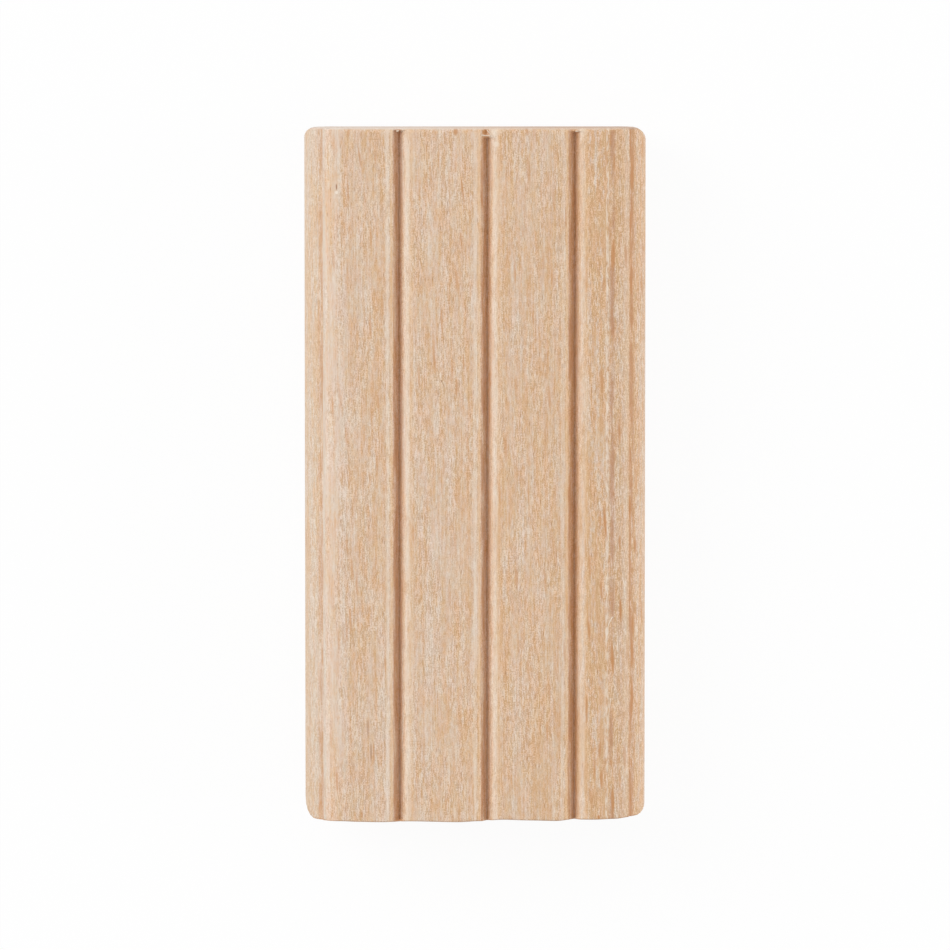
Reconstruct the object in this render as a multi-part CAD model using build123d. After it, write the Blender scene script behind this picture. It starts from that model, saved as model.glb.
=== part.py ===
from build123d import *
import os
from math import sqrt

# Loose tenon: a short length of moulded beech strip, glued into two facing mortises.
# It lies on one broad face: X runs across the width, Y along the grain and Z up through
# the thickness, with the origin under the middle of the tenon. Lengths are millimetres.

# The strip
length = 40.0  # along the grain, at the longer side
width = 19.7  # over the rounded edges
thickness = 6.0  # over the two broad faces

# The rounded edges: a half-round cap between two eased shoulders
quirk_inset = 0.96  # from the outermost line of the edge in to the quirk
quirk_height = 0.18  # the shoulder stands this far above the cap
shoulder_inset = 2.35  # from the outermost line of the edge in to the flat face

# The glue grooves, alike on both broad faces
groove_count = 3
groove_pitch = 5.03
groove_shift = 0.7  # the set lies this far to the right of the middle
groove_width = 0.82
groove_depth = 0.7
groove_root_radius = 0.06
groove_left_lip_radius = 0.07
groove_right_lip_radius = 0.42

# The sawn ends
end_skew = 0.18  # the lower end is this far out of square across the width
upper_easing = 0.3  # how far the arris of the upper end is worn back
lower_easing = 0.1
easing_bulge_share = 0.2  # bulge of a worn arris, as a share of its easing
upper_left_radius = 0.54  # corners, seen from above
upper_right_radius = 0.72
lower_left_radius = 1.28
lower_right_radius = 1.05

cut_overrun = 0.05  # how far a cut reaches past the wood

half_width = width / 2
half_length = length / 2
half_thickness = thickness / 2
lower_middle = end_skew / 2 - half_length  # middle of the lower end, along Y


def edge_outline():
    """Right-hand edge of the section, from the upper face round to the lower one."""
    quirk_x = half_width - quirk_inset
    cap_reach = half_thickness - quirk_inset
    cap_height = sqrt(half_thickness**2 - cap_reach**2)
    shoulder_foot = (quirk_x, cap_height + quirk_height)
    upper = TangentArc((half_width - shoulder_inset, half_thickness), shoulder_foot, tangent=(1, 0))
    upper += Line(shoulder_foot, (quirk_x, cap_height))
    upper += TangentArc((half_width, 0), (quirk_x, cap_height), tangent=(0, 1))
    return upper + mirror(upper, about=Plane.XZ)


def groove(centre):
    """Section of one glue groove in the upper face: a V with a rounded root."""
    mouth = groove_width / 2
    above = half_thickness + cut_overrun
    vee = Polygon(
        (centre, half_thickness - groove_depth),
        (centre + mouth, half_thickness),
        (centre + mouth, above),
        (centre - mouth, above),
        (centre - mouth, half_thickness),
        align=None,
    )
    return fillet(vee.vertices().sort_by(Axis.Y)[0], groove_root_radius)


def strip_section():
    """Section of the moulded strip about the middle of its thickness."""
    face_end = half_width - shoulder_inset
    face = Line((-face_end, half_thickness), (face_end, half_thickness))
    edge = edge_outline()
    section = make_face(face + mirror(face, about=Plane.XZ) + edge + mirror(edge, about=Plane.YZ))
    for place in range(groove_count):
        cut = groove(groove_shift + (place - (groove_count - 1) / 2) * groove_pitch)
        section = section - cut - mirror(cut, about=Plane.XZ)
    levels = section.vertices().group_by(Axis.Y)
    lips = [lip for level in (levels[0], levels[-1]) for lip in level.sort_by(Axis.X)[1:-1]]
    section = fillet(lips[0::2], groove_left_lip_radius)
    right_lips = [section.vertices().sort_by_distance(lip)[0] for lip in lips[1::2]]
    return fillet(right_lips, groove_right_lip_radius)


def plan_outline():
    """The tenon seen from above: worn corners and a lower end that is out of square."""
    side = half_width + cut_overrun
    side_drop = end_skew * side / width
    corners = {
        (-side, half_length): upper_left_radius,
        (side, half_length): upper_right_radius,
        (side, lower_middle + side_drop): lower_right_radius,
        (-side, lower_middle - side_drop): lower_left_radius,
    }
    plan = Polygon(*corners, align=None)
    for corner, radius in corners.items():
        plan = fillet(plan.vertices().sort_by_distance(corner)[0], radius)
    return plan


def easing_cut(end_middle, outward, up, easing):
    """Cutter that wears back the arris between an end, facing outward, and a broad face, facing up."""
    arc = SagittaArc((-easing, 0), (0, -easing), easing * easing_bulge_share)
    waste = Polyline(
        arc @ 1,
        (cut_overrun, -easing),
        (cut_overrun, cut_overrun),
        (-easing, cut_overrun),
        arc @ 0,
    )
    arris = Plane(end_middle + up * half_thickness, x_dir=outward, z_dir=outward.cross(up))
    return extrude(arris * make_face(arc + waste), amount=width, both=True)


def loose_tenon():
    """The finished tenon, about the middle of its thickness."""
    strip = extrude(Plane.XZ * strip_section(), amount=half_length + cut_overrun, both=True)
    tenon = strip & extrude(plan_outline(), amount=thickness, both=True)
    upper_end = Vector(0, half_length, 0)
    lower_end = Vector(0, lower_middle, 0)
    lower_outward = Vector(end_skew, -width, 0).normalized()
    for up in (Vector(0, 0, 1), Vector(0, 0, -1)):
        tenon -= easing_cut(upper_end, Vector(0, 1, 0), up, upper_easing)
        tenon -= easing_cut(lower_end, lower_outward, up, lower_easing)
    return tenon


os.makedirs("parts", exist_ok=True)
tenon = Pos(0, 0, half_thickness) * loose_tenon()
export_step(tenon, "parts/loose_tenon.step")
print(f"loose_tenon: {tenon.volume:.1f} mm3, box {tenon.bounding_box()}")
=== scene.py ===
import math

import bmesh
import bpy
from mathutils import Matrix, Vector, noise


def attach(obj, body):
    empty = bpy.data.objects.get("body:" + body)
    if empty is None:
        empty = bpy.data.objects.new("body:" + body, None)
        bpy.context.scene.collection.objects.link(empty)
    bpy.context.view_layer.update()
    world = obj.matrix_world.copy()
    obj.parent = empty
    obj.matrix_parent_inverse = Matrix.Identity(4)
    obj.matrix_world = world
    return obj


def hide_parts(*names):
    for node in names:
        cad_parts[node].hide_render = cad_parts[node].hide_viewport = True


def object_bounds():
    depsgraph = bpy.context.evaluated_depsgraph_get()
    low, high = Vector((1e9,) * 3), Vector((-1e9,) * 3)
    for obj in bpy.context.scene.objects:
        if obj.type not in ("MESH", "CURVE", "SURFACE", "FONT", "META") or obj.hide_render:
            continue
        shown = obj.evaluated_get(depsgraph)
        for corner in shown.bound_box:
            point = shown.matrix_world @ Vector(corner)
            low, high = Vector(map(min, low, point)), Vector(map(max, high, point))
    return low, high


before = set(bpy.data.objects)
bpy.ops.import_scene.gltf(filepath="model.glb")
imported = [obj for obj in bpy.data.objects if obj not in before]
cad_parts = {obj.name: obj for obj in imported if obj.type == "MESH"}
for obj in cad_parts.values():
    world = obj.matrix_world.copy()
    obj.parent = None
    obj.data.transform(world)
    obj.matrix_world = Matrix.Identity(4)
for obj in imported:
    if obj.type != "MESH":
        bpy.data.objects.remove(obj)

mm = 0.001
sharpAngle = 38  # degrees between two faces from which their edge shades sharp
cadLow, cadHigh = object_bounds()
width, length, thickness = ((cadHigh - cadLow) / mm)[:]
halfWidth, halfThick = width / 2, thickness / 2
lowerEnd, upperEnd = cadLow.y / mm, cadHigh.y / mm
print("frame loaded: tenon %.2f x %.2f x %.2f mm" % (width, length, thickness))

# lengths in millimetres, seen from above: right is +X and the upper end is +Y
tenonShape = {
    "quirkInsets": (1.11, 0.97),  # outermost line of the edge to the quirk, left and right
    "quirkHeight": 0.18,
    "shoulderInset": 2.35,  # outermost line of the edge to the flat face
    "ridgeInset": 2.23,  # the same on the right, where the cutter left a ridge
    "ridgeHeight": 0.03,
    "grooveMiddles": (-4.345, 0.7, 5.73),
    "grooveWidth": 0.76,
    "grooveDepth": 0.58,
    "grooveRoot": 0.06,
    "leftLip": 0.09,
    "rightLip": 0.52,
    # burrs in the grooves: reach from the end, share of the groove filled
    "upperBurrs": ((0.12, 0.9), (0.54, 0.55), (0.2, 0.75)),
    "lowerBurrs": ((0.09, 0.6), (0.06, 0.2), (0.06, 0.2)),
    "burrSlope": 0.05,
    "burrMargin": 0.01,  # how far below a groove's root a burr still fills
    "ragged": 0.025,  # how far the lips and the ridge stray from their lines
    "raggedRun": 0.8,  # along the grain
    "quickStray": (3.1, 0.6),  # a second stray on top: times as quick, share as far
    "straySeeds": (0.3, 0.7),  # of the first stray and the second
    "lipSeed": 4.6,
    "ridgeSeed": 9.4,
    "lipStray": (0.05, 0.3, 0.5, 0.8),  # from a groove's middle: where it starts, is full, wanes, ends
    "ridgeStray": 0.15,  # where it ends beside the ridge
    "upperEasing": 0.3,
    "lowerEasing": 0.1,
    "upperCorners": ((0.6, 0.56), (0.75, 0.75)),  # left and right: across, along
    "lowerCorners": ((0.62, 1.15), (0.58, 0.6)),
    # the lower end is worn back by this much at these places across
    "lowerEdge": (
        (-9, 0.07), (-7.8, 0.06), (-6.7, 0.02), (-5.5, 0), (-3.8, 0.05), (-0.9, 0), (0.2, 0.06),
        (1.6, 0.145), (3.2, 0.1), (4.7, 0.07), (5.6, 0.16), (6.8, 0.145), (8.2, 0.2), (8.8, 0.25),
    ),
    "lowerReach": 3.0,  # how far up that wear is felt in the mesh
    "upperCutFade": 0.1,  # how far an end's tone reaches along the faces
    "lowerCutFade": 0.06,
    "faceStep": 0.24,  # size of the mesh across the lands
    "wallStep": 0.1,
    "arcStep": 9,  # degrees of turn per mesh step
    "fewestArcSteps": 3,
    "samePlace": 0.001,  # how near two points count as one, or a point as lying on the middle plane
    "endZone": 0.9,  # finely divided stretch at either end
    "endCuts": 17,
    "bodyCuts": 190,
    "capCuts": 12,
}


def lineStroke(bm, pen, x, z, step):  # draws the section on with a straight run
    start = pen.co.copy()
    goal = Vector((x, start.y, z))
    strides = max(1, round((goal - start).length / step))
    for stride in range(1, strides + 1):
        pen = bmesh.ops.extrude_vert_indiv(bm, verts=[pen])["verts"][0]
        pen.co = start.lerp(goal, stride / strides)
    return pen


def arcStroke(bm, pen, x, z, turn):  # draws the section on with an arc about x, z
    s = tenonShape
    steps = max(s["fewestArcSteps"], math.ceil(math.degrees(abs(turn)) / s["arcStep"]))
    centre = (x, pen.co.y, z)
    swept = bmesh.ops.spin(bm, geom=[pen], cent=centre, axis=(0, -1, 0), angle=turn, steps=steps)
    return swept["geom_last"][0]


def drawGroove(bm, pen, middle):  # a V with rounded lips and root, from right to left
    s = tenonShape
    mouth = s["grooveWidth"] / 2
    slope = math.atan2(mouth, s["grooveDepth"])  # of a wall, from upright
    lipTurn = math.pi / 2 - slope
    rightReach = mouth + s["rightLip"] * math.tan(lipTurn / 2)
    leftReach = mouth + s["leftLip"] * math.tan(lipTurn / 2)
    rootMiddle = halfThick - s["grooveDepth"] + s["grooveRoot"] / math.sin(slope)
    wallFoot = middle + s["grooveRoot"] * math.cos(slope)
    wallFootZ = rootMiddle - s["grooveRoot"] * math.sin(slope)
    wallTop = middle - leftReach + s["leftLip"] * math.cos(slope)
    wallTopZ = halfThick - s["leftLip"] * (1 - math.sin(slope))
    pen = lineStroke(bm, pen, middle + rightReach, halfThick, s["faceStep"])
    pen = arcStroke(bm, pen, middle + rightReach, halfThick - s["rightLip"], lipTurn)
    pen = lineStroke(bm, pen, wallFoot, wallFootZ, s["wallStep"])
    pen = arcStroke(bm, pen, middle, rootMiddle, 2 * slope - math.pi)
    pen = lineStroke(bm, pen, wallTop, wallTopZ, s["wallStep"])
    return arcStroke(bm, pen, middle - leftReach, halfThick - s["leftLip"], lipTurn)


def bow(run, drop):  # radius and turn of a shoulder that starts level with the face
    radius = (run * run + drop * drop) / (2 * drop)
    return radius, math.asin(run / radius)


def capEdge(inset):  # a half-round cap's edge at the quirk: across, turn and height
    quirk = halfWidth - inset
    turn = math.acos((halfThick - inset) / halfThick)
    return quirk, turn, halfThick * math.sin(turn)


def drawSection(bm):  # the moulded strip's section at the lower end, about its middle
    s = tenonShape
    leftInset, rightInset = s["quirkInsets"]
    capMiddle = halfWidth - halfThick
    quirk, rightCapTurn, capTop = capEdge(rightInset)
    foot = capTop + s["quirkHeight"]
    ridge, ridgeTop = halfWidth - s["ridgeInset"], halfThick - s["ridgeHeight"]
    rightRadius, rightTurn = bow(quirk - ridge, ridgeTop - foot)
    pen = bmesh.ops.create_vert(bm, co=(halfWidth, lowerEnd, 0))["vert"][0]
    pen = arcStroke(bm, pen, capMiddle, 0, rightCapTurn)
    pen = lineStroke(bm, pen, quirk, foot, s["quirkHeight"] / 2)
    pen = arcStroke(bm, pen, ridge, ridgeTop - rightRadius, rightTurn)
    pen = lineStroke(bm, pen, ridge - s["ridgeHeight"], halfThick, s["wallStep"])
    for middle in reversed(s["grooveMiddles"]):
        pen = drawGroove(bm, pen, middle)
    quirk, leftCapTurn, capTop = capEdge(leftInset)
    faceEnd = s["shoulderInset"] - halfWidth
    leftRadius, leftTurn = bow(quirk + faceEnd, halfThick - capTop - s["quirkHeight"])
    pen = lineStroke(bm, pen, faceEnd, halfThick, s["faceStep"])
    pen = arcStroke(bm, pen, faceEnd, halfThick - leftRadius, leftTurn)
    pen = lineStroke(bm, pen, -quirk, capTop, s["quirkHeight"] / 2)
    arcStroke(bm, pen, -capMiddle, 0, leftCapTurn)
    bmesh.ops.mirror(bm, geom=bm.verts[:] + bm.edges[:], axis="Z", merge_dist=s["samePlace"])
    bmesh.ops.remove_doubles(bm, verts=bm.verts[:], dist=s["samePlace"])
    return bm.edges[:]


def pullAlong(bm, ring, distance, cuts):  # draws the strip on along the grain
    made = bmesh.ops.extrude_edge_only(bm, edges=ring)["geom"]
    front = {item for item in made if isinstance(item, bmesh.types.BMVert)}
    bmesh.ops.translate(bm, verts=list(front), vec=(0, distance, 0))
    touching = {edge for vert in front for edge in vert.link_edges}
    ahead = [edge for edge in touching if edge.verts[0] in front and edge.verts[1] in front]
    along = [edge for edge in touching if (edge.verts[0] in front) != (edge.verts[1] in front)]
    bmesh.ops.subdivide_edges(bm, edges=along, cuts=cuts, use_grid_fill=True)
    return ahead


def capEnd(bm, ring):  # closes an end with strips that run from face to face
    nearly = tenonShape["samePlace"]
    upper = [edge for edge in ring if min(vert.co.z for vert in edge.verts) > nearly]
    lower = [edge for edge in ring if max(vert.co.z for vert in edge.verts) < -nearly]
    corners = {vert for edge in ring for vert in edge.verts if abs(vert.co.z) <= nearly}
    ringVerts = {vert for edge in ring for vert in edge.verts}
    bmesh.ops.bridge_loops(bm, edges=upper + lower)
    for corner in corners:
        beside = [edge.other_vert(corner) for edge in corner.link_edges]
        bmesh.ops.contextual_create(bm, geom=[corner] + [vert for vert in beside if vert in ringVerts])
    ringEdges = set(ring)
    strips = [edge for vert in ringVerts for edge in vert.link_edges
              if edge not in ringEdges and edge.other_vert(vert) in ringVerts]
    bmesh.ops.subdivide_edges(bm, edges=list(set(strips)), cuts=tenonShape["capCuts"], use_grid_fill=True)


def smoothStep(value, start, end):
    share = max(0, min(1, (value - start) / (end - start)))
    return share * share * (3 - 2 * share)


def stray(place, seed):  # how far a ragged edge lies off its line
    s = tenonShape
    slowSeed, quickSeed = s["straySeeds"]
    quicker, share = s["quickStray"]
    slow = noise.noise((place.y / s["raggedRun"], seed, slowSeed))
    quick = noise.noise((place.y / s["raggedRun"] * quicker, seed, quickSeed))
    return s["ragged"] * (slow + share * quick)


def tearEdges(bm):  # ragged lips and ridge, and burrs that stop the grooves short of the ends
    s = tenonShape
    ridge = halfWidth - s["ridgeInset"]
    start, full, wane, end = s["lipStray"]
    for vert in bm.verts:
        place = vert.co
        besideRidge = abs(place.x - ridge)
        if besideRidge < s["ridgeStray"]:
            place.x += stray(place, s["ridgeSeed"]) * (1 - besideRidge / s["ridgeStray"])
        for number, middle in enumerate(s["grooveMiddles"]):
            aside = place.x - middle
            if abs(aside) > end:
                continue
            share = smoothStep(abs(aside), start, full) * smoothStep(abs(aside), end, wane)
            place.x += share * stray(place, number + math.copysign(s["lipSeed"], aside))
            upper = place.y > 0
            burr, fill = s["upperBurrs" if upper else "lowerBurrs"][number]
            fromEnd = upperEnd - place.y if upper else place.y - lowerEnd
            fill *= smoothStep(fromEnd, burr + s["burrSlope"], burr - s["burrSlope"])
            depth = halfThick - abs(place.z)
            if depth < s["grooveDepth"] + s["burrMargin"]:
                place.z = math.copysign(halfThick - depth * (1 - fill), place.z)


def wornBack(x):  # of the lower end
    edge = tenonShape["lowerEdge"]
    for (left, leftBack), (right, rightBack) in zip(edge, edge[1:]):
        if x <= right:
            return leftBack + (rightBack - leftBack) * smoothStep(x, left, right)
    return edge[-1][1]


def wearEnds(bm):  # rounded corners, eased arrises and the lower end's uneven line
    s = tenonShape
    cutEnd = bm.verts.layers.float.new("cutEnd")
    for vert in bm.verts:
        place = vert.co
        upper = place.y > 0
        side = 0 if place.x < 0 else 1
        across, along = s["upperCorners" if upper else "lowerCorners"][side]
        fromEnd = upperEnd - place.y if upper else place.y - lowerEnd
        inward = -1 if upper else 1
        inX = max(0, across - (halfWidth - abs(place.x)))
        inY = max(0, along - fromEnd)
        away = math.hypot(inX / across, inY / along)
        if inX and inY and away > 1:
            place.x -= math.copysign(inX * (1 - 1 / away), place.x)
            place.y += inward * inY * (1 - 1 / away)
            fromEnd += inY * (1 - 1 / away)
        easing = s["upperEasing" if upper else "lowerEasing"]
        back = easing - fromEnd
        vert[cutEnd] = max(0, 1 - fromEnd / s["upperCutFade" if upper else "lowerCutFade"])
        if back > 0:
            drop = easing - math.sqrt(max(0, easing * easing - back * back))
            place.z = max(drop - halfThick, min(halfThick - drop, place.z))
        if not upper:
            place.y += wornBack(place.x) * smoothStep(fromEnd, s["lowerReach"], 0)


def finishMesh(bm, name):  # from millimetres to an object in the frame
    bmesh.ops.scale(bm, verts=bm.verts[:], vec=(mm, mm, mm))
    bmesh.ops.recalc_face_normals(bm, faces=bm.faces[:])
    mesh = bpy.data.meshes.new(name)
    bm.to_mesh(mesh)
    bm.free()
    mesh.shade_smooth()
    mesh.set_sharp_from_angle(angle=math.radians(sharpAngle))
    piece = bpy.data.objects.new(name, mesh)
    bpy.context.collection.objects.link(piece)
    print("%s: %d faces" % (name, len(mesh.polygons)))
    return piece


def buildTenon():
    s = tenonShape
    bm = bmesh.new()
    ring = drawSection(bm)
    lowerRing = list(ring)
    ring = pullAlong(bm, ring, s["endZone"], s["endCuts"])
    ring = pullAlong(bm, ring, length - 2 * s["endZone"], s["bodyCuts"])
    ring = pullAlong(bm, ring, s["endZone"], s["endCuts"])
    capEnd(bm, lowerRing)
    capEnd(bm, ring)
    tearEdges(bm)
    wearEnds(bm)
    bmesh.ops.translate(bm, verts=bm.verts[:], vec=(0, 0, halfThick))
    return finishMesh(bm, "tenonBody")


# fibres that the cutters lifted, lengths in millimetres
looseFibres = {
    "sides": 6,
    "steps": 6,
    "tip": 0.45,  # thickness at the end, as a share
    "colour": (234, 217, 197),
    "roughness": 0.7,
    "specular": 0.3,
    # start, end, sideways bow, thickness
    "fibres": (
        ((7.92, -8.08, 5.94), (7.62, -8.75, 5.96), 0.03, 0.09),
        ((7.64, -8.7, 5.95), (7.7, -9.2, 5.95), 0.03, 0.06),
        ((7.82, -12.8, 5.935), (7.66, -14.6, 5.955), 0.02, 0.07),
        ((7.66, 17.2, 5.96), (7.7, 16.2, 5.955), 0.02, 0.05),
        ((7.7, -3.4, 5.955), (7.66, -4.3, 5.96), 0.03, 0.05),
        ((0.26, 19.65, 5.94), (0.92, 19.61, 5.93), 0.04, 0.08),
        ((0.7, 19.88, 5.84), (0.97, 19.66, 5.92), 0.02, 0.07),
        ((-4.5, 19.84, 5.88), (-4.35, 19.88, 5.87), 0.01, 0.11),
        ((5.75, 19.84, 5.86), (6.1, 19.87, 5.85), 0.02, 0.09),
    ),
}


def growFibre(bm, start, end, sideways, thick):
    f = looseFibres
    start, end = Vector(start), Vector(end)
    across = (end - start).cross((0, 0, 1)).normalized()
    disc = bmesh.ops.create_circle(bm, cap_ends=True, segments=f["sides"], radius=thick / 2)["verts"]
    bmesh.ops.rotate(bm, verts=disc, matrix=(end - start).to_track_quat("Z", "Y").to_matrix())
    bmesh.ops.translate(bm, verts=disc, vec=start)
    tip = disc[0].link_faces[0]
    here = start
    for step in range(1, f["steps"] + 1):
        share = step / f["steps"]
        there = start.lerp(end, share) + across * sideways * math.sin(math.pi * share)
        tip = bmesh.ops.extrude_discrete_faces(bm, faces=[tip])["faces"][0]
        bmesh.ops.translate(bm, verts=tip.verts[:], vec=there - here)
        thinner = f["tip"] ** (1 / f["steps"])
        bmesh.ops.scale(bm, verts=tip.verts[:], vec=(thinner,) * 3, space=Matrix.Translation(-there))
        here = there


def buildFibres():
    bm = bmesh.new()
    for fibre in looseFibres["fibres"]:
        growFibre(bm, *fibre)
    bmesh.ops.holes_fill(bm, edges=bm.edges[:])
    return finishMesh(bm, "looseFibres")


def makeFibre():
    material = bpy.data.materials.new("paleFibre")
    material.use_nodes = True
    shader = material.node_tree.nodes["Principled BSDF"]
    shader.inputs["Base Color"].default_value = tone(*looseFibres["colour"])
    shader.inputs["Roughness"].default_value = looseFibres["roughness"]
    shader.inputs["Specular IOR Level"].default_value = looseFibres["specular"]
    return material


def addNode(tree, kind, inputs=None, **settings):
    made = tree.nodes.new(kind)
    for name, value in settings.items():
        setattr(made, name, value)
    for socket, value in (inputs or {}).items():
        if isinstance(value, bpy.types.NodeSocket):
            tree.links.new(value, made.inputs[socket])
        else:
            made.inputs[socket].default_value = value
    return made


def linear(level):  # a screen colour's level, 0 to 1, as light
    return level / 12.92 if level <= 0.04045 else ((level + 0.055) / 1.055) ** 2.4


def tone(red, green, blue):  # screen colour, 0 to 255, as the linear colour that a shader takes
    return [linear(level / 255) for level in (red, green, blue)] + [1]


def mathNode(tree, operation, *values):
    return addNode(tree, "ShaderNodeMath", dict(enumerate(values)), operation=operation).outputs[0]


def times(tree, *values):
    product = values[0]
    for value in values[1:]:
        product = mathNode(tree, "MULTIPLY", product, value)
    return product


def plus(tree, total, value, share):
    return mathNode(tree, "MULTIPLY_ADD", value, share, total)


def mixColour(tree, share, first, second, blend="MIX"):
    inputs = {0: share, 6: first, 7: second}  # 6 and 7 are the node's colour sockets
    return addNode(tree, "ShaderNodeMix", inputs, data_type="RGBA", blend_type=blend).outputs[2]


def fade(tree, value, start, end, full=1):  # 0 at start, full at end, smooth in between
    ends = {0: value, 1: start, 2: end, 4: full}  # 3, the value at start, is 0 as it comes
    return addNode(tree, "ShaderNodeMapRange", ends, interpolation_type="SMOOTHSTEP").outputs[0]


def between(tree, value, start, full, stillFull, end):  # a soft-edged stretch of value
    return times(tree, fade(tree, value, start, full), fade(tree, value, end, stillFull))


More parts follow.
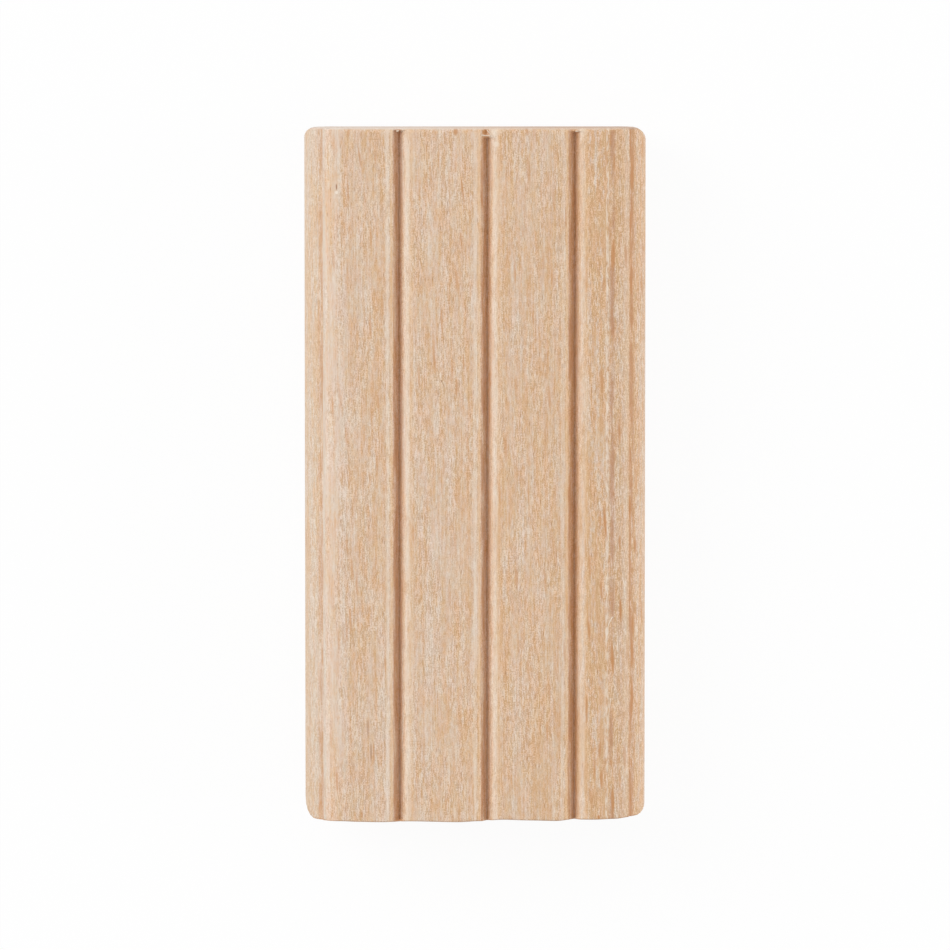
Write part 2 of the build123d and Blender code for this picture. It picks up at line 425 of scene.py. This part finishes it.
# sizes in millimetres, tones as screen colours, painted shade and painted highlight tones among them
beechLook = {
    "fibreLean": 0.5,  # degrees that the fibres lean to the left going up
    "rayLean": 2.5,  # and the rays
    "pith": (-12, -41),  # the log's middle, from the middle of the section
    "ringStart": 44.2,  # a ring's edge, as a distance from the pith
    "ringWidth": 2.0,
    "ringWaver": ((11, 1.5, 12, 1), 0.3),  # seed, width, run and detail of the rings' waver, then its reach
    "lateStart": (0.45, 1.0),  # where in a ring the late wood sets in and is full, as shares
    "seedShift": (7.3, 3.1, 5.7),  # how far apart two seeds lie in a pattern
    "pinkDark": (206, 182, 158),
    "pinkPale": (235, 218, 202),
    "amberDark": (204, 164, 121),
    "amberPale": (234, 200, 165),
    "ray": (204, 146, 96),
    "boldRay": (198, 140, 90),
    "pore": (168, 122, 88),
    "cream": (243, 230, 214),
    "slit": (150, 98, 62),
    # painted shade on the left flank
    "edge": (190, 180, 163),
    # painted shade at the foot of the quirks' steps
    "quirkShade": (192, 136, 92),
    # painted shade line at the quirk
    "quirk": (172, 146, 122),
    # painted shadow beside the ridge
    "ridgeShadowTone": (182, 130, 98),
    # painted highlight on the groove lips
    "lip": (236, 194, 148),
    # painted shade on the grooves' left walls
    "wall": (178, 112, 60),
    # painted warm shade inside the grooves
    "cavity": (214, 130, 30),
    # painted shade at the grooves' roots
    "root": (120, 66, 30),
    # painted highlight on the left quirk's lit step
    "step": (206, 199, 188),
    # painted light on the upper end
    "upperEndHighlight": (236, 228, 220),
    "lowerArris": (172, 122, 84),
    "endPale": (214, 170, 128),
    "endDark": (166, 113, 75),
    "upperTint": (0.3, 0.33),  # least painted light on the upper end, and what its left side adds
    "upperTintBlend": (6, -6),
    "lowerTint": 0.8,
    "sawnStart": (0.3, 0.5),  # where an end's own figure sets in, below the face
    "endRings": 0.5,  # how much the rings and the fine grain darken a sawn end
    "endGrit": 0.7,
    "relief": (0.02, 0.6),  # height and strength of the grain's bump
    "roughness": 0.6,
    "specular": 0.3,
    # width and run of a streak, share in the lightness, share in the warmth
    "fineStreaks": {
        "grit": (0.05, 0.085, 1.75, -0.1),
        "shortFibre": (0.06, 0.4, 1.42, -0.15),
    },
    "broadStreaks": {
        "speckle": (0.1, 0.24, 0.0, 0.85),
        "longFibre": (0.085, 4.0, 0.42, -0.75),
        "strand": (0.22, 1.0, 0.0, 0.95),
        "longStrand": (0.45, 5.0, 0.0, 0.8),
        "band": (1.1, 14.0, 0.0, 0.45),
    },
    # patterns: seed, width and run, then the values between which they fade in
    "rosyStreak": ((73, 0.3, 1.6), (0.3, 0.7)),
    "rosyCast": (1, 0.945, 0.935, 1),  # what rosy streaks keep of the light
    "cluster": ((71, 0.7, 4.0), (0.35, 0.65)),  # patches in which the fine grain shows more
    "clusterShow": (0.6, 0.8),  # how much it shows at least, and what a patch adds
    # steps across the strip: start, end, amount added from there on
    "busier": ((7.4, 8.0, 0.7), (8.7, 9.1, 0.6), (-7.2, -8.0, -0.45), (-8.7, -8.9, 0.7)),
    "bolderLight": ((-8.7, -9.0, 0.3),),
    "bolderWarmth": ((-8.7, -9.0, 0.9), (5.9, 6.3, 0.6), (7.3, 7.7, -0.6), (8.8, 9.1, 0.3)),
    # stretches across the strip, share in the lightness, share in the warmth
    "casts": (
        ((0.5, 8.0, 9.1, 10.2), -0.12, 0.25),  # the right side
        ((-9.3, -8.6, -8.0, -6.8), 0.1, -0.29),  # the left shoulder: paler wood with a painted sheen
    ),
    "lateWarmth": 0.12,
    # seed, width, run and depth of the cells, reach of a dash in its cell, share left empty, strength
    "creamDash": (21, 0.1, 0.9, 0.1, 0.42, 0.86, 0.4),
    "poreDash": (31, 0.1, 0.45, 0.1, 0.42, 0.84, 0.6),
    "rayDash": (41, 0.24, 2.4, 12.0, 0.42, 0.84, 0.6),
    "boldRayDash": (43, 0.42, 3.4, 12.0, 0.3, 0.7, 0.8),
    "endPore": (33, 0.16, 1.0, 0.16, 0.34, 0.45, 0.55),
    "dashCore": 0.35,  # where a dash is full, as a share of its reach
    "faintest": 0.4,  # faintest dash, as a share of the boldest
    "boldStart": (4.5, 8.5),  # across the strip, where bold rays set in
    "poreGlint": (-0.07, 0.04, 0),  # the lit side of a pore, from its middle
    "glint": 0.6,  # its strength, as a share of the pore's
    "markCore": 0.55,  # how far in from its edge a placed mark is full, as a share
    # marks that stand out on the front: x, y, half width, half run, lean to the left going up, strength
    "boldRays": (
        (7.48, -2.66, 0.1, 1.3, 5, 0.75),
        (8.32, -3.76, 0.09, 0.55, 1, 0.7),
        (8.91, -1.8, 0.08, 1.05, 0, 0.95),
        (9.24, -4.05, 0.13, 0.75, 0, 0.8),
        (8.38, -7.7, 0.085, 1.0, 2, 0.95),
        (7.27, -6.6, 0.08, 0.9, 2, 0.7),
        (6.56, -8.85, 0.09, 1.0, 5, 0.7),
        (9.1, -8.65, 0.12, 0.8, 2, 0.8),
        (9.06, -10.3, 0.14, 1.2, 0, 0.8),
        (7.91, -10.45, 0.11, 1.2, 3, 0.85),
        (2.38, -5.85, 0.13, 0.8, 3, 0.5),
        (-0.73, 16.55, 0.07, 0.85, 7, 0.7),
        (-0.8, 13.6, 0.06, 0.75, 6, 0.6),
        (-1.11, 19.83, 0.17, 0.3, 0, 0.75),
        (-2.33, 6.7, 0.08, 1.05, 5, 0.55),
        (-0.66, 6.6, 0.07, 0.65, 2, 0.55),
        (-1.06, 5.15, 0.09, 0.75, 0, 0.6),
        (7.19, -15.8, 0.1, 0.65, -2, 0.7),
        (7.28, -17.5, 0.1, 0.7, 2, 0.7),
        (7.94, -18.7, 0.13, 0.95, 1, 0.8),
        (7.84, -16.55, 0.06, 0.3, 0, 0.7),
        (7.92, 12.75, 0.17, 1.15, -2, 0.8),
        (8.9, 19.4, 0.06, 0.7, 0, 0.7),
        (9.02, 17.3, 0.13, 1.4, 0, 0.8),
        (8.94, 14.6, 0.09, 1.1, 0, 0.85),
        (8.97, 11.0, 0.09, 0.8, 0, 0.7),
        (9.68, 13.1, 0.06, 0.3, 0, 0.6),
        (9.62, 11.5, 0.06, 0.4, 0, 0.6),
        (2.97, 19.85, 0.13, 0.35, 10, 0.5),
        (3.05, 17.8, 0.13, 1.0, 3, 0.35),
        (2.74, 14.1, 0.1, 0.5, 2, 0.4),
        (5.21, 14.8, 0.05, 0.7, 0, 0.6),
        (7.38, 11.05, 0.12, 0.65, 0, 0.5),
        (9.05, -12.9, 0.12, 1.3, 0, 0.85),
        (8.97, -18.7, 0.08, 0.7, 0, 0.7),
        (8.31, -16.4, 0.05, 0.4, 0, 0.6),
        (9.64, -15.7, 0.06, 0.35, 0, 0.6),
        (-8.95, -19.1, 0.14, 0.45, -8, 0.5),
        (7.77, 19.35, 0.08, 0.4, 0, 0.6),
        (7.98, 18.0, 0.08, 0.7, 0, 0.6),
        (6.43, -13.45, 0.08, 1.15, 0, 0.7),
        (7.13, -19.7, 0.09, 0.18, 0, 0.9),
        (9.04, -16.65, 0.08, 0.4, 3, 0.8),
        (-7.25, 19.75, 0.1, 0.35, 0, 0.5),
        (-6.61, 18.35, 0.08, 0.7, 7, 0.6),
        (-7.28, 16.45, 0.08, 0.85, 3, 0.5),
        (-5.83, -16.0, 0.08, 0.8, 1, 0.6),
        (-6.52, -19.55, 0.08, 0.3, 0, 0.6),
        (0.56, 19.78, 0.19, 0.19, 30, 1.0),
    ),
    "slits": (
        (-7.94, 16.65, 0.05, 0.23, 3, 0.8),
        (-5.99, -15.9, 0.055, 0.7, 0, 0.6),
        (-6.17, -14.55, 0.055, 0.65, 1, 0.5),
        (-1.92, 5.5, 0.045, 0.1, 10, 0.7),
    ),
    "paleSpots": (
        (-7.93, 16.33, 0.13, 0.12, 0, 0.8),
        (1.25, 19.8, 0.42, 0.25, 0, 0.3),
        (1.23, 19.1, 0.22, 0.2, -30, 0.4),
        (6.22, 19.8, 0.34, 0.28, 0, 0.25),
        (-4.15, 19.84, 0.1, 0.1, 0, 0.5),
        (-1.98, 5.85, 0.06, 0.25, 0, 0.6),
        (7.58, -8.95, 0.14, 0.3, 0, 0.6),
    ),
}


def turned(tree, place, degrees):  # runs a pattern along grain that leans
    made = addNode(tree, "ShaderNodeMapping", {"Vector": place, "Rotation": (0, 0, -math.radians(degrees))})
    return made.outputs[0]


def stretch(tree, place, seed, across, run, depth):  # a pattern's own lattice, long along the grain
    shift = [seed * apart for apart in beechLook["seedShift"]]
    scale = (1 / across, 1 / run, 1 / depth)
    made = addNode(tree, "ShaderNodeMapping", {"Vector": place, "Location": shift, "Scale": scale})
    return made.outputs[0]


def streak(tree, place, seed, across, run, detail=0):
    lattice = stretch(tree, place, seed, across, run, across)
    return addNode(tree, "ShaderNodeTexNoise", {"Vector": lattice, "Scale": 1, "Detail": detail}).outputs[0]


def centred(tree, value):  # a value from 0 to 1, about nought
    return mathNode(tree, "SUBTRACT", value, 0.5)


def dashes(tree, place, seed, across, run, depth, reach, empty, strength):  # scattered spindles
    b = beechLook
    lattice = stretch(tree, place, seed, across, run, depth)
    cells = addNode(tree, "ShaderNodeTexVoronoi", {"Vector": lattice, "Scale": 1, "Randomness": 1})
    draw = addNode(tree, "ShaderNodeSeparateColor", {0: cells.outputs["Color"]})
    chosen = mathNode(tree, "GREATER_THAN", draw.outputs[0], empty)
    body = fade(tree, cells.outputs["Distance"], reach, reach * b["dashCore"])
    boldness = plus(tree, b["faintest"], draw.outputs[1], 1 - b["faintest"])
    return times(tree, chosen, body, boldness, strength)


def marks(tree, place, spots):  # spindles placed one by one on the front
    strongest = 0.0
    for x, y, halfAcross, halfRun, lean, strength in spots:
        where = {"Vector": place, "Location": (x, y, thickness), "Rotation": (0, 0, math.radians(lean)),
                 "Scale": (halfAcross, halfRun, halfThick)}
        spot = addNode(tree, "ShaderNodeMapping", where, vector_type="TEXTURE").outputs[0]
        near = addNode(tree, "ShaderNodeTexGradient", {"Vector": spot}, gradient_type="SPHERICAL")
        mark = fade(tree, near.outputs["Fac"], 0, beechLook["markCore"], strength)
        strongest = mathNode(tree, "MAXIMUM", mark, strongest)
    return strongest


def tint(tree, wood, share, strength, colour):
    return mixColour(tree, times(tree, share, strength), wood, tone(*colour))


def lateWood(tree, place, fibrePlace):  # growth rings round the log's middle
    b = beechLook
    fromPith = addNode(tree, "ShaderNodeMapping",
                       {"Vector": place, "Location": (-b["pith"][0], 0, -b["pith"][1] - halfThick),
                        "Scale": (1, 0, 1)}).outputs[0]
    radius = addNode(tree, "ShaderNodeVectorMath", {0: fromPith}, operation="LENGTH").outputs["Value"]
    pattern, reach = b["ringWaver"]
    radius = plus(tree, radius, centred(tree, streak(tree, fibrePlace, *pattern)), reach)
    ring = mathNode(tree, "DIVIDE", mathNode(tree, "SUBTRACT", radius, b["ringStart"]), b["ringWidth"])
    return fade(tree, mathNode(tree, "FRACT", ring), *b["lateStart"])


def patches(tree, place, pattern, edge):  # a streak pattern with its faint parts left out
    return fade(tree, streak(tree, place, *pattern), *edge)


def stepsAcross(tree, across, total, steps):  # adds each step's amount on the far side of it
    for start, end, amount in steps:
        total = plus(tree, total, fade(tree, across, start, end), amount)
    return total


def bolder(tree, value, gain):  # spreads a value about its middle
    return plus(tree, 0.5, centred(tree, value), gain)


def grainTone(tree, fibrePlace, across, late):  # how light and warm the wood is, 0 to 1, and its relief
    b = beechLook
    least, more = b["clusterShow"]
    cluster = plus(tree, least, patches(tree, fibrePlace, *b["cluster"]), more)
    cluster = stepsAcross(tree, across, cluster, b["busier"])
    light, warm, relief = 0.5, 0.5, 0.0
    for seed, (wide, run, inLight, inWarm) in enumerate(b["fineStreaks"].values()):
        figure = centred(tree, streak(tree, fibrePlace, seed, wide, run))
        relief = plus(tree, relief, figure, 1)
        figure = times(tree, figure, cluster)
        light = plus(tree, light, figure, inLight)
        warm = plus(tree, warm, figure, inWarm)
    for seed, (wide, run, inLight, inWarm) in enumerate(b["broadStreaks"].values(), len(b["fineStreaks"])):
        figure = centred(tree, streak(tree, fibrePlace, seed, wide, run))
        light = plus(tree, light, figure, inLight)
        warm = plus(tree, warm, figure, inWarm)
    warm = bolder(tree, warm, stepsAcross(tree, across, 1, b["bolderWarmth"]))
    light = bolder(tree, light, stepsAcross(tree, across, 1, b["bolderLight"]))
    for where, inLight, inWarm in b["casts"]:
        share = between(tree, across, *where)
        light = plus(tree, light, share, inLight)
        warm = plus(tree, warm, share, inWarm)
    warm = plus(tree, warm, late, b["lateWarmth"])
    light = addNode(tree, "ShaderNodeClamp", {0: light}).outputs[0]
    warm = addNode(tree, "ShaderNodeClamp", {0: warm}).outputs[0]
    return light, warm, relief


def grainColour(tree, fibrePlace, light, warm):
    b = beechLook
    pink = mixColour(tree, light, tone(*b["pinkDark"]), tone(*b["pinkPale"]))
    amber = mixColour(tree, light, tone(*b["amberDark"]), tone(*b["amberPale"]))
    wood = mixColour(tree, warm, pink, amber)
    rosy = patches(tree, fibrePlace, *b["rosyStreak"])
    return mixColour(tree, rosy, wood, b["rosyCast"], "MULTIPLY")


def grainMarks(tree, fibrePlace, rayPlace, across, wood):  # cream fibres, pores and ray spindles
    b = beechLook
    wood = tint(tree, wood, dashes(tree, fibrePlace, *b["creamDash"]), 1, b["cream"])
    litSide = addNode(tree, "ShaderNodeMapping", {"Vector": fibrePlace, "Location": b["poreGlint"]})
    glints = dashes(tree, litSide.outputs[0], *b["poreDash"])
    wood = tint(tree, wood, glints, b["glint"], b["cream"])
    wood = tint(tree, wood, dashes(tree, fibrePlace, *b["poreDash"]), 1, b["pore"])
    wood = tint(tree, wood, dashes(tree, rayPlace, *b["rayDash"]), 1, b["ray"])
    bold = times(tree, dashes(tree, rayPlace, *b["boldRayDash"]), fade(tree, across, *b["boldStart"]))
    return tint(tree, wood, bold, 1, b["boldRay"])


def frontMarks(tree, place, wood):  # the marks that were placed one by one
    b = beechLook
    wood = tint(tree, wood, marks(tree, place, b["boldRays"]), 1, b["boldRay"])
    wood = tint(tree, wood, marks(tree, place, b["slits"]), 1, b["slit"])
    return tint(tree, wood, marks(tree, place, b["paleSpots"]), 1, b["cream"])


def endWood(tree, place, light, late):  # rings, fibre ends and pores on a sawn end
    b = beechLook
    shade = plus(tree, times(tree, late, b["endRings"]), mathNode(tree, "SUBTRACT", 1, light), b["endGrit"])
    wood = mixColour(tree, shade, tone(*b["endPale"]), tone(*b["endDark"]))
    return tint(tree, wood, dashes(tree, place, *b["endPore"]), 1, b["pore"])


# what the cutters left, with painted shade and painted highlights beside the quirks, the ridge and the
# grooves, lengths in millimetres
cutterMarksAndShade = {
    "wander": ((54, 2.0, 0.9, 1), 0.1),  # seed, width, run and detail of the lines' stray, then its reach
    "leftBlend": (1, -1),  # where the left side's marks take over from the right's
    # patterns: seed, width, run and detail, then the values between which they fade in
    "patchy": ((51, 0.22, 1.6, 1), (0.3, 0.62)),
    "tufts": ((52, 0.12, 0.5, 1), (0.35, 0.6)),
    "runs": ((53, 0.4, 2.6, 1), (0.38, 0.6)),
    "fuzzHighlightPattern": ((61, 0.3, 1.2, 1), (0.1, 0.6)),
    "edge": ((-8.7, -9.1), 0.3),  # painted shade on the greyer left flank: where it sets in, and its strength
    # a stretch from the line that the mark follows, then its strength
    "quirkShade": ((-0.42, -0.1, -0.02, 0.02), 0.78),  # painted shade at the foot of the quirk's step, beside the quirk, counted inward
    "leftQuirkShade": 0.65,  # the left side's painted shade, as a share of the right
    "quirkLine": ((-0.2, -0.12, -0.05, 0.0), 0.16),  # painted shade line at the foot of the quirk's step, on the left
    "step": ((-0.02, 0.01, 0.07, 0.22), 0.42),  # painted highlight on the quirk's lit step, on the left
    "rightQuirkHighlight": ((0.02, 0.06, 0.2, 0.45), 0.16),  # painted highlight on the quirk's edge, on the right
    "tornFibreHighlight": ((-0.15, -0.06, 0.0, 0.09), 0.62),  # pale torn fibres and a painted highlight on the ridge's lit side, beside the ridge
    # painted shadow that the ridge's step casts on its right
    "ridgeShadow": ((0.06, 0.2, 0.3, 0.48), 0.6),
    # beside a groove's middle
    "fuzzHighlightShares": (1, 1, 0.75),  # how much pale fuzz and painted highlight each groove's lips get
    # pale fuzz with a painted highlight, right of the groove
    "rightFuzzHighlight": ((0.15, 0.42, 0.54, 0.68), 0.44),
    # painted highlight on the right lip
    "rightLip": ((0.5, 0.6, 0.7, 0.9), 0.25),
    # pale fuzz with a painted highlight, left of the groove
    "leftFuzzHighlight": ((-0.84, -0.72, -0.62, -0.54), 0.38),
    # painted highlight on the left lip
    "leftLip": ((-0.57, -0.47, -0.43, -0.35), 0.4),
    # painted shade on each groove's left wall, which faces away from the lamp
    "wall": ((-0.4, -0.32, -0.24, -0.04), 0.55),
    # painted warm shade, the colour of light bounced about inside the groove
    "cavity": ((-0.26, -0.12, 0.06, 0.2), 0.22),
    # painted shade along the groove's root
    "root": ((-0.08, -0.02, 0.02, 0.06), 0.38),
    "rootShadeShares": (0.6, 0.95),  # of a groove's depth, where the root's painted shade sets in and is full
    "leastMottle": 0.25,  # of the left wall's painted shade
}


# tints a stretch beside a line of the profile: cutter marks, painted shade and painted highlights
def profileTint(tree, wood, value, name, share, colour):
    where, strength = cutterMarksAndShade[name]
    return tint(tree, wood, times(tree, between(tree, value, *where), share), strength, beechLook[colour])


# cutter marks, with painted shade and painted highlights that follow the profile
def millMarksAndShade(tree, fibrePlace, across, fromFace, onFace, wood):
    s, c = tenonShape, cutterMarksAndShade
    pattern, reach = c["wander"]
    strayed = plus(tree, across, centred(tree, streak(tree, fibrePlace, *pattern)), reach)
    left = fade(tree, across, *c["leftBlend"])
    # painted shade on the left flank, where the light falls off
    where, strength = c["edge"]
    wood = tint(tree, wood, fade(tree, across, *where), strength, beechLook["edge"])

    leftInset, rightInset = s["quirkInsets"]
    inside = mathNode(tree, "SUBTRACT", halfWidth, mathNode(tree, "ABSOLUTE", across))
    fromQuirk = mathNode(tree, "SUBTRACT", inside, plus(tree, rightInset, left, leftInset - rightInset))
    # painted shade, patchy, at the foot of each quirk's step
    patchy = patches(tree, fibrePlace, *c["patchy"])
    patchy = times(tree, patchy, plus(tree, 1, left, c["leftQuirkShade"] - 1))
    wood = profileTint(tree, wood, fromQuirk, "quirkShade", patchy, "quirkShade")
    # painted shade line at the foot of the left quirk's step
    wood = profileTint(tree, wood, fromQuirk, "quirkLine", left, "quirk")
    # painted highlight on the left quirk's lit step
    wood = profileTint(tree, wood, fromQuirk, "step", left, "step")
    # painted highlight on the right quirk's edge
    wood = profileTint(tree, wood, fromQuirk, "rightQuirkHighlight", fade(tree, left, 1, 0), "cream")

    fromRidge = mathNode(tree, "SUBTRACT", strayed, halfWidth - s["ridgeInset"])
    tufts = patches(tree, fibrePlace, *c["tufts"])
    runs = patches(tree, fibrePlace, *c["runs"])
    # pale torn fibres with a painted highlight on the ridge's lit side
    wood = profileTint(tree, wood, fromRidge, "tornFibreHighlight", tufts, "cream")
    # painted shadow that the ridge's step casts on its right
    wood = profileTint(tree, wood, fromRidge, "ridgeShadow", runs, "ridgeShadowTone")

    # painted shade, from part way down each groove to its root
    deepShade = fade(tree, fromFace, *(s["grooveDepth"] * share for share in c["rootShadeShares"]))
    # patches of pale fuzz with a painted highlight
    fuzzHighlightPatches = times(tree, patches(tree, fibrePlace, *c["fuzzHighlightPattern"]), onFace)
    # mottle of the left walls' painted shade
    mottled = times(tree, plus(tree, c["leastMottle"], runs, 1 - c["leastMottle"]), onFace)
    for middle, fuzzShare in zip(s["grooveMiddles"], c["fuzzHighlightShares"]):
        aside = mathNode(tree, "SUBTRACT", strayed, middle)
        fuzzHighlight = times(tree, fuzzHighlightPatches, fuzzShare)
        # pale fuzz with a painted highlight beside both lips
        wood = profileTint(tree, wood, aside, "rightFuzzHighlight", fuzzHighlight, "cream")
        wood = profileTint(tree, wood, aside, "leftFuzzHighlight", fuzzHighlight, "cream")
        # painted highlight on both lips
        wood = profileTint(tree, wood, aside, "leftLip", onFace, "lip")
        wood = profileTint(tree, wood, aside, "rightLip", onFace, "lip")
        # painted shade on the left wall, mottled
        wood = profileTint(tree, wood, aside, "wall", mottled, "wall")
        # painted warm shade inside the groove
        wood = profileTint(tree, wood, aside, "cavity", onFace, "cavity")
        # painted shade at the root
        wood = profileTint(tree, wood, aside, "root", times(tree, deepShade, onFace), "root")
    return wood


def makeBeech():
    b = beechLook
    material = bpy.data.materials.new("rawBeech")
    material.use_nodes = True
    tree = material.node_tree
    shader = tree.nodes["Principled BSDF"]
    metres = addNode(tree, "ShaderNodeTexCoord").outputs["Object"]
    place = addNode(tree, "ShaderNodeMapping", {"Vector": metres, "Scale": (1 / mm,) * 3}).outputs[0]
    fibrePlace = turned(tree, place, b["fibreLean"])
    rayPlace = turned(tree, place, b["rayLean"])
    axes = addNode(tree, "ShaderNodeSeparateXYZ", {0: place})
    across, along, height = axes.outputs
    cutEnd = addNode(tree, "ShaderNodeAttribute", attribute_name="cutEnd").outputs["Fac"]
    onFace = mathNode(tree, "SUBTRACT", 1, cutEnd)
    fromMiddle = mathNode(tree, "ABSOLUTE", mathNode(tree, "SUBTRACT", height, halfThick))
    fromFace = mathNode(tree, "SUBTRACT", halfThick, fromMiddle)

    late = lateWood(tree, place, fibrePlace)
    light, warm, relief = grainTone(tree, fibrePlace, across, late)
    wood = grainColour(tree, fibrePlace, light, warm)
    wood = grainMarks(tree, fibrePlace, rayPlace, across, wood)
    wood = millMarksAndShade(tree, fibrePlace, across, fromFace, onFace, wood)
    wood = frontMarks(tree, place, wood)
    upper = mathNode(tree, "GREATER_THAN", along, 0)
    lowerCut = times(tree, cutEnd, mathNode(tree, "SUBTRACT", 1, upper))
    wood = tint(tree, wood, lowerCut, b["lowerTint"], b["lowerArris"])
    sawn = times(tree, cutEnd, fade(tree, fromFace, *b["sawnStart"]))
    wood = mixColour(tree, sawn, wood, endWood(tree, place, light, late))
    # painted light on the upper end: paler, more so on its left side
    leastTint, leftTint = b["upperTint"]
    greyed = plus(tree, leastTint, fade(tree, across, *b["upperTintBlend"]), leftTint)
    wood = tint(tree, wood, times(tree, cutEnd, upper), greyed, b["upperEndHighlight"])

    high, strength = b["relief"]
    bump = addNode(tree, "ShaderNodeBump", {"Height": relief, "Distance": high * mm, "Strength": strength})
    tree.links.new(wood, shader.inputs["Base Color"])
    tree.links.new(bump.outputs[0], shader.inputs["Normal"])
    shader.inputs["Roughness"].default_value = b["roughness"]
    shader.inputs["Specular IOR Level"].default_value = b["specular"]
    print("rawBeech: %d shader nodes" % len(tree.nodes))
    return material


studio = {
    "aim": (0, 0.106, 6),  # millimetres, as the distance
    "distance": 375,
    "tilt": 4.2,  # degrees off straight down, towards the upper end
    "lens": 247.3,
    "sensor": 36,
    "clipStart": 0.01,  # metres, as the sizes below
    "skyLevel": 0.66,
    "lampDistance": 0.8,
    # degrees off straight up to the left, slant to the upper end, size, level on a card that faces the lamp
    "lamps": {"keyLamp": (55, 0.45, 0.6, 0.457), "fillLamp": (-76, 0.0, 0.4, 0.3)},
    "floorReach": 1.5,  # from its middle to its sides
    "floorPaint": (0.95, 0.95, 0.95, 1),
    "floorGlow": 0.93,  # how much of the floor's own white the camera sees, and not its shade
}


def placeCamera():
    aim = Vector(studio["aim"]) * mm
    tilt = math.radians(studio["tilt"])
    camera = bpy.data.cameras.new("photoCamera")
    camera.lens = studio["lens"]
    camera.sensor_width = studio["sensor"]
    camera.clip_start = studio["clipStart"]
    holder = bpy.data.objects.new("photoCamera", camera)
    holder.location = aim + Vector((0, math.sin(tilt), math.cos(tilt))) * studio["distance"] * mm
    holder.rotation_euler = (-tilt, 0, 0)  # the upper end is up in the picture
    bpy.context.collection.objects.link(holder)
    bpy.context.scene.camera = holder


def addLamp(name, turn, forward, size, level):
    lamp = bpy.data.lights.new(name, "AREA")
    lamp.shape = "DISK"
    lamp.size = size
    distance = studio["lampDistance"]
    lamp.energy = level * math.pi ** 2 * (distance ** 2 + size ** 2 / 4)  # watts that give a card that level
    holder = bpy.data.objects.new(name, lamp)
    turn = math.radians(turn)
    holder.location = Vector((-math.sin(turn), forward, math.cos(turn))).normalized() * distance
    holder.rotation_euler = (-holder.location).to_track_quat("-Z", "Y").to_euler()
    bpy.context.collection.objects.link(holder)


def lightStudio():
    for name, values in studio["lamps"].items():
        addLamp(name, *values)
    world = bpy.data.worlds.new("studioSky")
    world.use_nodes = True
    world.node_tree.nodes["Background"].inputs["Color"].default_value = (1, 1, 1, 1)
    world.node_tree.nodes["Background"].inputs["Strength"].default_value = studio["skyLevel"]
    bpy.context.scene.world = world


def layFloor():
    bm = bmesh.new()
    bmesh.ops.create_grid(bm, x_segments=1, y_segments=1, size=studio["floorReach"])
    mesh = bpy.data.meshes.new("paleFloor")
    bm.to_mesh(mesh)
    bm.free()
    floor = bpy.data.objects.new("paleFloor", mesh)
    bpy.context.collection.objects.link(floor)
    material = bpy.data.materials.new("whiteFloor")
    material.use_nodes = True
    tree = material.node_tree
    tree.nodes.clear()
    path = addNode(tree, "ShaderNodeLightPath")
    seen = mathNode(tree, "MAXIMUM", path.outputs["Is Camera Ray"], path.outputs["Is Glossy Ray"])
    seen = mathNode(tree, "MAXIMUM", seen, path.outputs["Is Transmission Ray"])
    paint = addNode(tree, "ShaderNodeBsdfDiffuse", {"Color": studio["floorPaint"]})
    glow = addNode(tree, "ShaderNodeEmission", {"Color": (1, 1, 1, 1), "Strength": 1})
    mixed = addNode(tree, "ShaderNodeMixShader",
                    {0: times(tree, seen, studio["floorGlow"]), 1: paint.outputs[0], 2: glow.outputs[0]})
    addNode(tree, "ShaderNodeOutputMaterial", {"Surface": mixed.outputs[0]})
    mesh.materials.append(material)


tenon = buildTenon()
tenon.data.materials.append(makeBeech())
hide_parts("loose_tenon")
fibres = buildFibres()
fibres.data.materials.append(makeFibre())
for piece in (tenon, fibres):
    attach(piece, "root")
layFloor()
lightStudio()
placeCamera()
bpy.context.scene.view_settings.view_transform = "Standard"
print("studio set")
